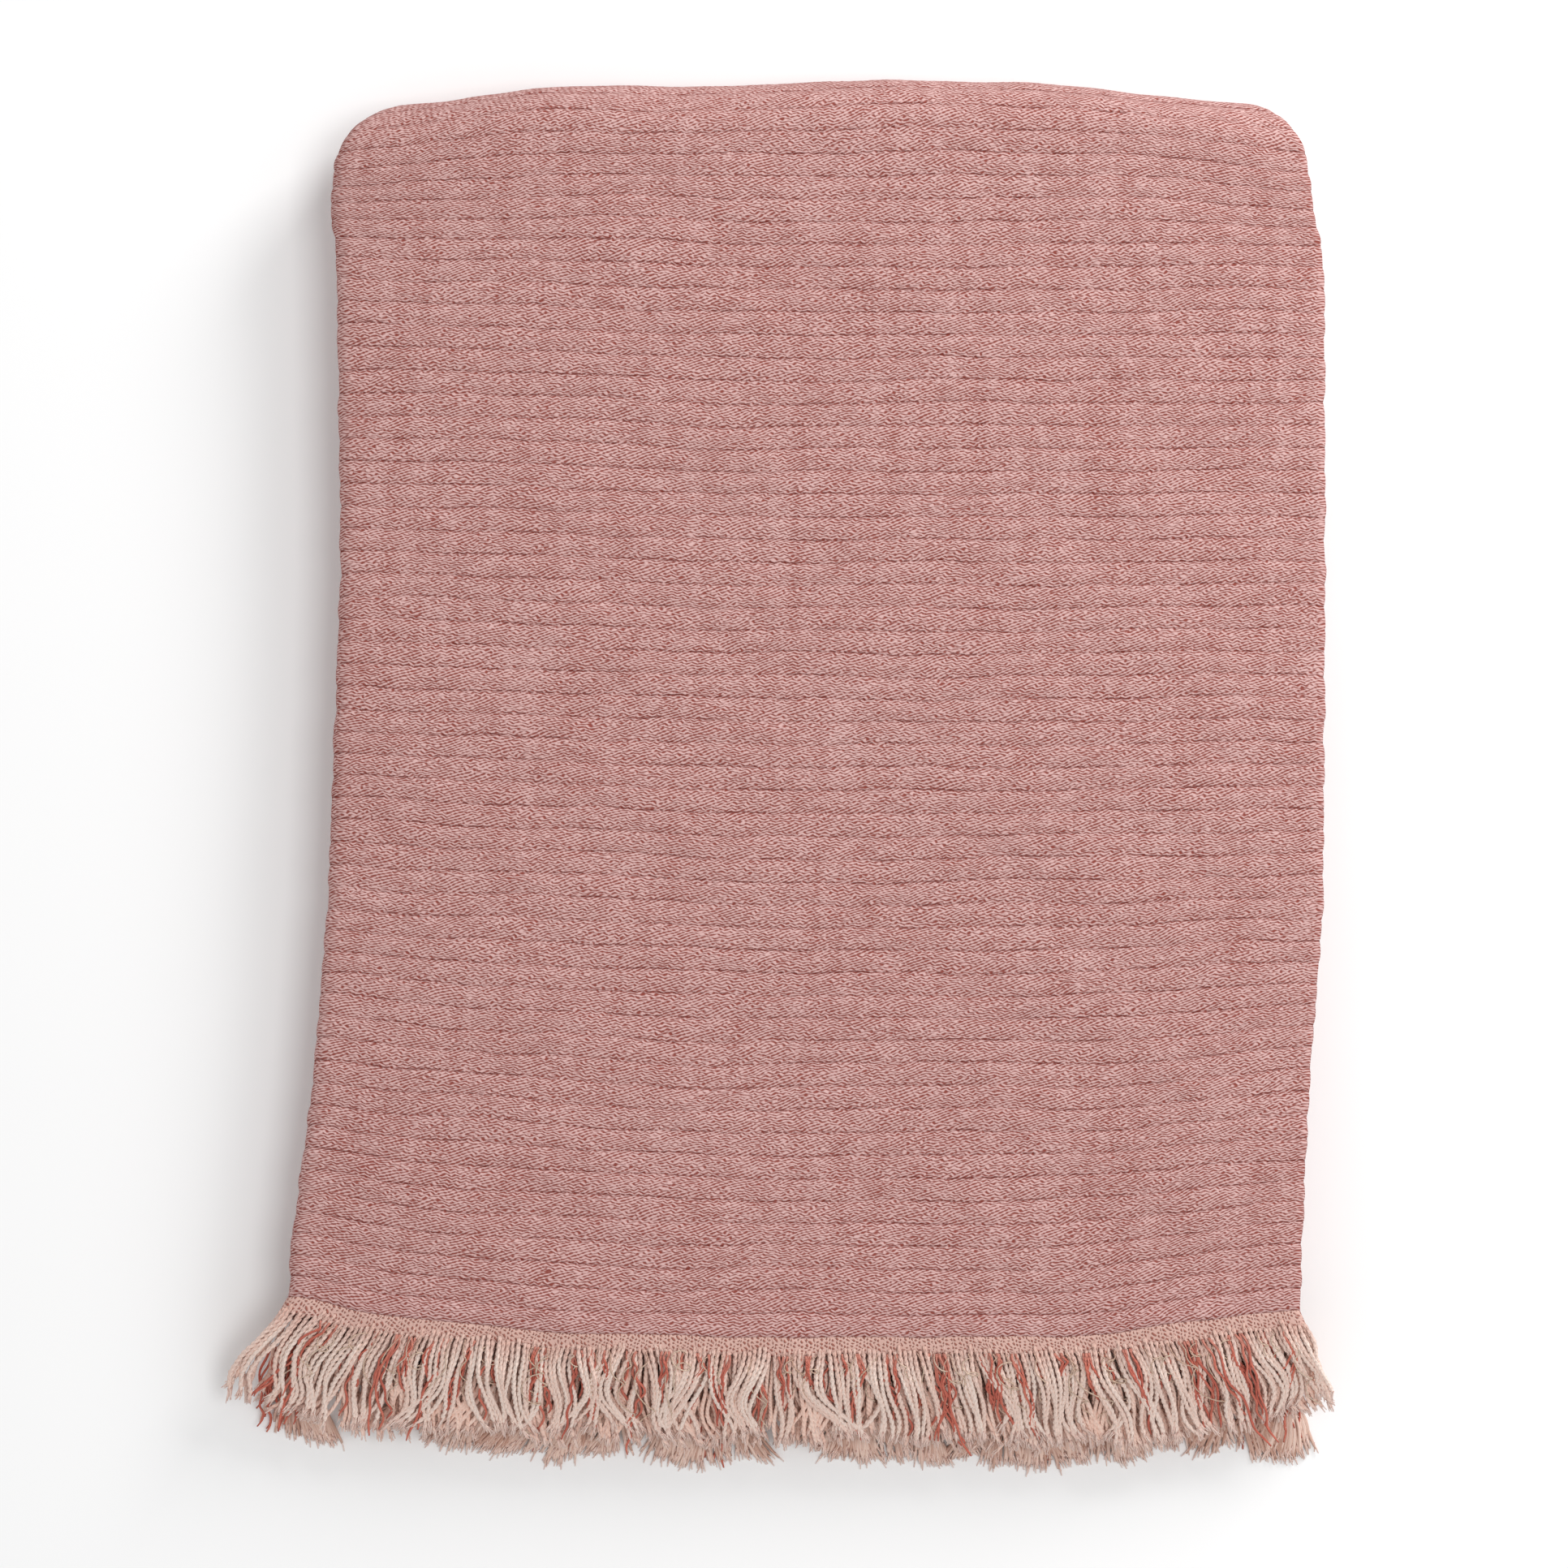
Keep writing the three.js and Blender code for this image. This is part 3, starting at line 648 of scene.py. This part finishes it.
def yarnEnds(name, paths, each, long, spread):
    # The soft brush that each yarn opens into at its tip
    size = yarnEndHair
    tips = np.repeat(paths[:, -1], each, axis=0)
    ahead = np.repeat(paths[:, -1] - paths[:, -3], each, axis=0)
    ahead /= np.linalg.norm(ahead, axis=1, keepdims=True)
    count = len(tips)
    aim = ahead + random.normal(0, spread, (count, 3)) * (1, 1, 0.5)
    aim /= np.linalg.norm(aim, axis=1, keepdims=True)
    length = random.uniform(*long, (count, 1, 1)) * mm
    s = np.linspace(0, 1, len(size["radii"]))[None, :, None]
    curl = random.normal(0, spread, (count, 1, 3)) * (1, 1, 0.4)
    start = tips[:, None] - size["into"] * mm * ahead[:, None]
    start = start + random.normal(0, size["across"], (count, 1, 3)) * mm
    hairs = start + length * (aim[:, None] * s + curl * s ** 2)
    radii = np.repeat(np.array([size["radii"]]), count, axis=0)
    return yarnTubes(name, onFloor(hairs, radii), radii, 3, random.uniform(0, 1, count))


brickYarn = {"rings": 30, "radius": 0.57, "together": (1, 0.9, 0.55), "apart": 2.2, "wave": (0.3, 0.9)}
brickLies = {
    "outer": {"count": 72, "reach": (18, 55), "waves": (0.4, 1.2), "swing": (0.4, 3.2), "lean": 0.07,
              "lift": (0.6, 4.4), "inset": 9, "at": None},
    "under": {"count": 60, "reach": (22, 30), "waves": (0.5, 1.2), "swing": (0.3, 1.6), "lean": 0.1,
              "lift": (5, 8), "inset": 9, "at": clumps[:, 0]},
}


def brickYarns(endName):
    # Thinner wavy yarns, two or three at a place
    size, lie = brickYarn, brickLies[endName]
    count, strands = lie["count"], []
    u, past, sideways, raised = loosePaths(count, size["rings"], lie)
    for k, share in enumerate(size["together"]):
        chosen = random.uniform(0, 1, count) < share
        apart = random.uniform(-size["apart"], size["apart"], (count, 1))
        high = random.uniform(*size["wave"], (count, 1))
        wave = high * np.sin(random.uniform(0.25, 0.5, (count, 1)) * past + k * 2.0)
        own = heading["width"] + (past - heading["width"]) * random.uniform(0.6, 1, (count, 1))
        height = raised + random.uniform(-0.7, 0.5, (count, 1))
        strands.append(fringePoint(endName, u, own, 0.0, sideways + apart + wave, height)[chosen])
    paths = np.concatenate(strands)
    radii = taper(paths, size["radius"], 0.6)
    name = endName + "_brick_yarns"
    return yarnTubes(name, onFloor(paths, radii), radii, 4, random.uniform(0, 1, len(paths)))


creamLie = {"count": 64, "rings": 34, "radius": 0.3, "reach": (12, 42), "waves": (0.7, 3.0),
            "swing": (1.0, 4.5), "lean": 0.22, "lift": (2.5, 4.5), "inset": 9, "at": None}


def creamThreads():
    lie = creamLie
    u, past, sideways, raised = loosePaths(lie["count"], lie["rings"], lie)
    paths = fringePoint("outer", u, past, 0.0, sideways, raised)
    radii = taper(paths, lie["radius"], 0.7)
    return yarnTubes("cream_threads", paths, radii, 4, random.uniform(0, 1, len(paths)))


# Materials
perMetre = 1000  # turns the maps' metres into millimetres


def tint(red, green, blue):
    # A colour as seen on a screen, its parts from 11 to 255, made linear
    return tuple(((part / 255 + 0.055) / 1.055) ** 2.4 for part in (red, green, blue)) + (1,)


class Finish:
    # A material and short ways to add nodes to it
    def __init__(self, name, roughness, sheen):
        self.material = bpy.data.materials.new(name)
        self.material.use_nodes = True
        self.nodes, self.links = self.material.node_tree.nodes, self.material.node_tree.links
        self.shader = self.nodes["Principled BSDF"]
        self.shader.inputs["Roughness"].default_value = roughness
        self.shader.inputs["Specular IOR Level"].default_value = 0.1
        self.shader.inputs["Sheen Weight"].default_value = sheen
        self.shader.inputs["Sheen Roughness"].default_value = 0.5

    def put(self, socket, value):
        if isinstance(value, bpy.types.NodeSocket):
            self.links.new(value, socket)
        else:
            socket.default_value = value

    def math(self, operation, *values, clamp=False):
        node = self.nodes.new("ShaderNodeMath")
        node.operation, node.use_clamp = operation, clamp
        for socket, value in zip(node.inputs, values):
            self.put(socket, value)
        return node.outputs[0]

    def times(self, first, second):
        return self.math("MULTIPLY", first, second)

    def plus(self, first, second):
        return self.math("ADD", first, second)

    def minus(self, first, second):
        return self.math("SUBTRACT", first, second)

    def wave(self, turns):
        return self.math("COSINE", self.times(turns, 2 * math.pi))

    def range(self, value, low, high, toLow=0.0, toHigh=1.0):
        node = self.nodes.new("ShaderNodeMapRange")
        node.interpolation_type = "SMOOTHSTEP"
        names = ("Value", "From Min", "From Max", "To Min", "To Max")
        for name, given in zip(names, (value, low, high, toLow, toHigh)):
            self.put(node.inputs[name], given)
        return node.outputs["Result"]

    def mix(self, share, first, second):
        node = self.nodes.new("ShaderNodeMix")
        node.data_type = "RGBA"
        for socket, value in zip((node.inputs[0], node.inputs[6], node.inputs[7]), (share, first, second)):
            self.put(socket, value)
        return node.outputs[2]

    def uv(self, scaleX, scaleY):
        coordinate = self.nodes.new("ShaderNodeTexCoord")
        mapping = self.nodes.new("ShaderNodeMapping")
        mapping.inputs["Scale"].default_value = (scaleX, scaleY, 1)
        self.links.new(coordinate.outputs["UV"], mapping.inputs["Vector"])
        split = self.nodes.new("ShaderNodeSeparateXYZ")
        self.links.new(mapping.outputs["Vector"], split.inputs[0])
        return mapping.outputs["Vector"], split.outputs["X"], split.outputs["Y"]

    def noise(self, scaleX, scaleY, detail=2.0, source=None):
        vector = source or self.uv(scaleX, scaleY)[0]
        node = self.nodes.new("ShaderNodeTexNoise")
        node.inputs["Scale"].default_value = 1
        node.inputs["Detail"].default_value = detail
        self.links.new(vector, node.inputs["Vector"])
        return node.outputs["Fac"]

    def slantedNoise(self, degrees, scales, detail):
        # Noise in streaks that rise at an angle; scales are per millimetre, along and across the streaks
        _, u, v = self.uv(perMetre, perMetre)
        cosine, sine = math.cos(math.radians(degrees)), math.sin(math.radians(degrees))
        ahead = self.plus(self.times(u, cosine), self.times(v, sine))
        aside = self.minus(self.times(v, cosine), self.times(u, sine))
        joined = self.nodes.new("ShaderNodeCombineXYZ")
        self.put(joined.inputs[0], self.times(ahead, scales[0]))
        self.put(joined.inputs[1], self.times(aside, scales[1]))
        self.put(joined.inputs[2], degrees / 10)
        return self.noise(1, 1, detail, joined.outputs[0])

    def centred(self, value):
        return self.minus(value, 0.5)

    def sum(self, *parts):
        # The sum of values, each multiplied by its own weight
        total = 0.0
        for value, weight in parts:
            node = self.nodes.new("ShaderNodeMath")
            node.operation = "MULTIPLY_ADD"
            for socket, given in zip(node.inputs, (value, weight, total)):
                self.put(socket, given)
            total = node.outputs[0]
        return total

    def bump(self, height, distance, strength=1.0):
        node = self.nodes.new("ShaderNodeBump")
        node.inputs["Distance"].default_value = distance
        node.inputs["Strength"].default_value = strength
        self.links.new(height, node.inputs["Height"])
        self.links.new(node.outputs["Normal"], self.shader.inputs["Normal"])


# The cloth's weave: lengths in mm, slopes in mm per mm, widths of its thin lines as shares of a rib
weaveSizes = {"zigzag": 2.6, "zigzagSlope": -0.32, "rowPitch": 1.26, "slant": -0.33, "slantPitch": 1.22,
              "wander": 2.4, "floatPitch": 3.1, "line": (0.018, 0.055), "lineShare": 0.8,
              "plainEnd": (2.0, 6.0)}


def crinkleWeave():
    # Pale slanted floats over a brick ground
    look, size = Finish("crinkle_weave", 1.0, 0.0), weaveSizes
    _, u, v = look.uv(perMetre, perMetre)
    warped = look.sum((look.noise(42, 240, 1.0), 12.0), (u, 1.0))
    zigzag = look.math("PINGPONG", warped, size["zigzag"])
    wander = look.noise(60, 90, 2.0)
    zigzagRow = look.sum((v, 1.0), (zigzag, size["zigzagSlope"]), (wander, size["wander"]))
    zigzagRow = look.math("DIVIDE", zigzagRow, size["rowPitch"])
    slantedRow = look.sum((v, 0.93), (u, size["slant"]), (wander, size["wander"]))
    slantedRow = look.math("DIVIDE", slantedRow, size["slantPitch"])
    patches = look.range(look.noise(70, 260, 1.0), 0.47, 0.57)
    zigzags = look.times(look.wave(zigzagRow), look.minus(1.0, patches))
    rows = look.plus(zigzags, look.times(look.wave(slantedRow), patches))
    cell = look.sum((u, 1 / size["floatPitch"]), (zigzagRow, 0.43), (look.noise(300, 500, 1.0), 1.2))
    streaks = look.centred(look.slantedNoise(24, (0.13, 0.75), 1.5))
    fibres = look.centred(look.noise(900, 1500, 1.0))
    slubs = look.centred(look.noise(60, 420, 3.0))
    bands = look.centred(look.noise(150, 9, 2.0))
    weave = look.sum((rows, 0.56), (look.wave(cell), 0.26), (streaks, 0.75), (fibres, 0.6), (slubs, 0.5),
                     (bands, 0.45))
    pale = look.range(weave, -0.68, 0.5)

    # Thin broken lines across, where the layers are tied together
    waver = look.sum((look.centred(look.noise(150, 20, 2.0)), 0.09),
                     (look.centred(look.noise(430, 90, 1.0)), 0.1))
    phase = look.plus(look.plus(look.math("DIVIDE", v, ribs["pitch"]), 0.5), waver)
    fromLine = look.math("ABSOLUTE", look.centred(look.math("FRACT", phase)))
    line = look.range(fromLine, *size["line"], 1.0, 0.0)
    dashes = look.range(look.noise(360, 95, 1.0), 0.4, 0.58, 0.25, 1.0)
    fading = look.range(look.noise(30, 50, 1.0), 0.32, 0.6, 0.3, 1.0)
    line = look.times(look.times(line, dashes), look.times(fading, look.range(v, *size["plainEnd"])))

    pinks = look.mix(look.noise(24, 24, 2.0), tint(220, 182, 178), tint(209, 169, 165))
    bricks = look.mix(look.noise(40, 300, 2.0), tint(150, 78, 69), tint(132, 66, 58))
    colour = look.mix(pale, bricks, pinks)
    colour = look.mix(look.times(line, size["lineShare"]), colour, tint(108, 40, 32))
    look.links.new(colour, look.shader.inputs["Base Color"])
    look.bump(look.minus(pale, line), 0.00035, 0.7)
    return look.material


headingSizes = {"cordPitch": 1.7, "pickPitch": 1.9, "uneven": 2.4}


def headingWeave():
    # Light cords side by side, with brick yarn showing between their floats
    look, size = Finish("heading_weave", 1.0, 0.05), headingSizes
    _, u, v = look.uv(perMetre, perMetre)
    uneven = look.times(look.centred(look.noise(300, 240, 2.0)), size["uneven"])
    cord = look.plus(look.math("DIVIDE", u, size["cordPitch"]), uneven)
    every = look.times(look.math("FLOOR", cord), 0.5)
    pick = look.plus(look.plus(look.math("DIVIDE", v, size["pickPitch"]), every), uneven)
    fibres = look.centred(look.noise(700, 700))
    weave = look.sum((look.wave(cord), 0.42), (look.wave(pick), 0.42), (fibres, 1.4))
    pale = look.range(weave, -0.8, 0.05)
    light = look.mix(look.noise(60, 60), tint(219, 182, 171), tint(202, 163, 151))
    colour = look.mix(pale, tint(160, 98, 86), light)
    look.links.new(colour, look.shader.inputs["Base Color"])
    look.bump(pale, 0.0005, 0.9)
    return look.material


# Yarn finishes: light and dark tint, turns of the twist from root to tip, depth of its relief in metres
yarnLooks = {
    "pale_yarn": (tint(255, 237, 226), tint(247, 215, 201), 9, 0.00025),
    "lower_yarn": (tint(255, 227, 213), tint(245, 205, 188), 9, 0.00025),
    # The open yarn of the under fringe's tufts: a deeper pink of its own, made darker still with painted
    # shade because the tufts lie low
    "open_yarn_painted_shade": (tint(248, 222, 208), tint(196, 154, 136), 2, 0.00003),
    "frayed_yarn": (tint(253, 234, 225), tint(238, 206, 194), 2, 0.00002),
    "brick_yarn": (tint(228, 135, 115), tint(200, 105, 89), 6, 0.00025),
    "cream_thread": (tint(240, 216, 196), tint(226, 194, 170), 12, 0.00025),
}
# Painted shade: a darker tint that each yarn takes on near its root, where it comes out of the heading
paintedRootShade = tint(196, 146, 132)


def yarnFinish(name):
    look = Finish(name, 1.0, 0.06)
    light, dark, twists, relief = yarnLooks[name]
    tone = look.nodes.new("ShaderNodeAttribute")
    tone.attribute_name = "tone"
    _, turn, far = look.uv(1, 1)
    fibres = look.noise(14, 60, 3.0)
    parts = look.times(tone.outputs["Fac"], 0.75), look.times(fibres, 0.4)
    colour = look.mix(look.math("ADD", *parts, clamp=True), light, dark)
    # Painted shade: mixes the darker root tint into the first part of each yarn
    colour = look.mix(look.range(far, 0.02, 0.3, 0.55, 0.0), colour, paintedRootShade)
    look.links.new(colour, look.shader.inputs["Base Color"])
    spiral = look.math("SINE", look.times(look.plus(turn, look.times(far, twists)), 4 * math.pi))
    look.bump(look.plus(spiral, look.times(fibres, 1.5)), relief, 0.7)
    return look.material


def wear(piece, material, slot, *nodes):
    piece.data.materials.clear()
    piece.data.materials.append(material)
    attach(piece, body)
    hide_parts(*nodes)


print("camera and floor")
view = {"width": 715, "lens": 90, "sensor": 36, "focusHeight": 34}
camera = bpy.data.objects.new("camera", bpy.data.cameras.new("camera"))
bpy.context.collection.objects.link(camera)
camera.data.lens, camera.data.sensor_width = view["lens"], view["sensor"]
camera.location = (0, 0, (view["width"] * view["lens"] / view["sensor"] + view["focusHeight"]) * mm)
bpy.context.scene.camera = camera

floor = {"size": 6.0, "drop": 0.0002}
bm = bmesh.new()
bmesh.ops.create_grid(bm, x_segments=2, y_segments=2, size=floor["size"] / 2)
bmesh.ops.translate(bm, verts=bm.verts[:], vec=(0, 0, -floor["drop"]))
ground = meshOf("floor", bm)
plain = Finish("floor_paper", 0.9, 0.0)
plain.shader.inputs["Base Color"].default_value = (0.965, 0.965, 0.965, 1)
ground.data.materials.append(plain.material)

skyStrength = 0.62
lamps = {
    "overhead": {"power": 21, "size": 1.0, "place": (0.9, 0.0, 2.7)},
    "low": {"power": 30, "size": 0.9, "place": (1.35, 1.6, 1.1)},
}
world = bpy.data.worlds.new("studio")
bpy.context.scene.world = world
world.use_nodes = True
world.node_tree.nodes["Background"].inputs["Color"].default_value = (1, 1, 1, 1)
world.node_tree.nodes["Background"].inputs["Strength"].default_value = skyStrength
for name, lamp in lamps.items():
    made = bpy.data.objects.new(name, bpy.data.lights.new(name, "AREA"))
    made.data.energy, made.data.size = lamp["power"], lamp["size"]
    made.location = lamp["place"]
    made.rotation_euler = (-made.location).to_track_quat("-Z", "Y").to_euler()
    bpy.context.collection.objects.link(made)
bpy.context.scene.view_settings.view_transform = "Standard"

print("cloth")
cloth = foldedCloth()
wear(cloth, crinkleWeave(), "crinkle_cotton", "cloth")
print("headings")
woven = headingWeave()
outerHeading, underHeading = fringedHeading("outer"), fringedHeading("under")
wear(outerHeading, woven, "fringe_yarn", "outer_fringe")
wear(underHeading, woven, "fringe_yarn", "under_fringe")
print("fringe")
pale, deep, fluffPaintedShade, soft, brick, cream = (yarnFinish(name) for name in yarnLooks)
top, topPaths = topYarns()
wear(top, pale, "fringe_yarn", "outer_fringe")
outerLower, outerPaths = lowerYarns("outer", ("ply2", "ply1", "ply0"))
wear(outerLower, deep, "fringe_yarn", "outer_fringe")
underLower, _ = lowerYarns("under", ("ply0", "ply1", "ply2", "ply3"))
wear(underLower, deep, "fringe_yarn", "under_fringe")
underBrushes, brushPaths = brushes()
wear(underBrushes, fluffPaintedShade, "fringe_yarn", "under_fringe")
bricks = brickYarns("outer")
wear(bricks, brick, "fringe_yarn", "outer_fringe")
underBricks = brickYarns("under")
wear(underBricks, brick, "fringe_yarn", "under_fringe")
creams = creamThreads()
wear(creams, cream, "fringe_yarn", "outer_fringe")
outerTips = np.concatenate([topPaths[:, -3:], outerPaths[:, -3:]])
outerEnds = yarnEnds("outer_yarn_ends", outerTips, 7, (3.5, 6), 0.08)
wear(outerEnds, soft, "fringe_yarn", "outer_fringe")
underEnds = yarnEnds("under_yarn_ends", brushPaths, 2, (3, 6), 0.1)
wear(underEnds, soft, "fringe_yarn", "under_fringe")

bpy.context.view_layer.update()
print("done")
